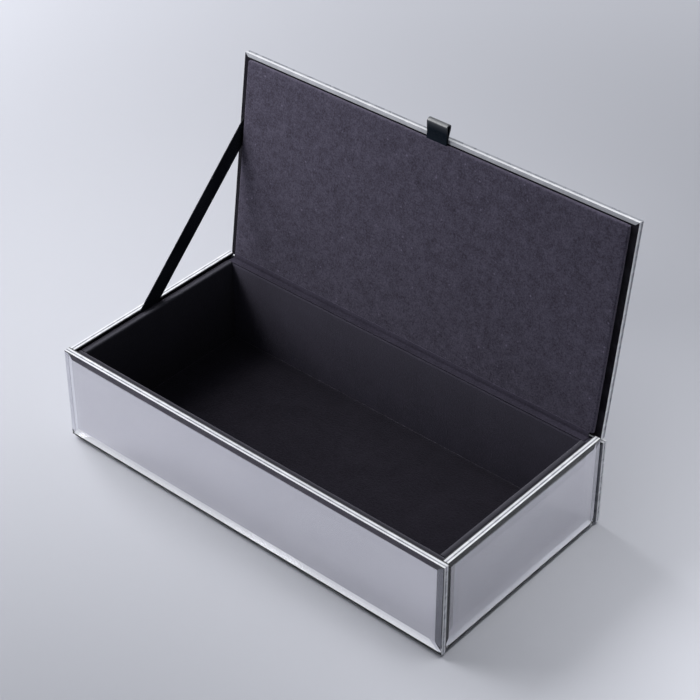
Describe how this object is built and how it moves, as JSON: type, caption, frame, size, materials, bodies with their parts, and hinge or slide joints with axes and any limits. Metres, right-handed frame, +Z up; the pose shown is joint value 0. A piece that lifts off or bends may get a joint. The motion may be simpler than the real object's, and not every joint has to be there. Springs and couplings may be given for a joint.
{
  "type": "mirrored glass jewelry box",
  "caption": "Long low jewelry box of bevelled mirrored glass over a black velvet-lined case, with a cloth-hinged lid, a ribbon stay and a leather pull tab.",
  "frame": {"origin": "middle of the felt sole, on the surface that the box stands on", "axes": "+X along the front to the right, -Y out of the front, +Y towards the hinge, +Z up"},
  "size_m": [0.3, 0.1707, 0.2189],
  "materials": {
    "silvered_glass": "polished bevelled glass, silvered on its back",
    "board": "black pressed board",
    "velvet": "short black velvet nap",
    "felt": "black felt",
    "tape": "black foam mounting tape",
    "leather": "black smooth leather",
    "ribbon": "black satin ribbon",
    "hinge_fabric": "black velvet strip"
  },
  "bodies": {
    "box": {"base_felt": "felt", "base_board": "board", "front_wall_board": "board", "back_wall_board": "board", "left_wall_board": "board", "right_wall_board": "board", "front_pane": "silvered_glass", "back_pane": "silvered_glass", "left_pane": "silvered_glass", "right_pane": "silvered_glass", "front_pane_tape": "tape", "back_pane_tape": "tape", "left_pane_tape": "tape", "right_pane_tape": "tape", "front_lining": "velvet", "back_lining": "velvet", "left_lining": "velvet", "right_lining": "velvet", "floor_pad": "velvet", "hinge_cloth": "hinge_fabric", "stay_ribbon": "ribbon"},
    "lid": {"lid_pane": "silvered_glass", "lid_tape": "tape", "lid_board": "board", "lid_lining": "velvet", "pull_tab": "leather"}
  },
  "joints": [
    {"name": "lid_hinge", "type": "hinge", "parent": "box", "child": "lid", "pos_m": [0, 0.0667, 0.06815], "axis": [1, 0, 0], "range_deg": [0, 97.75], "deforming": ["hinge_cloth", "stay_ribbon"]}
  ]
}
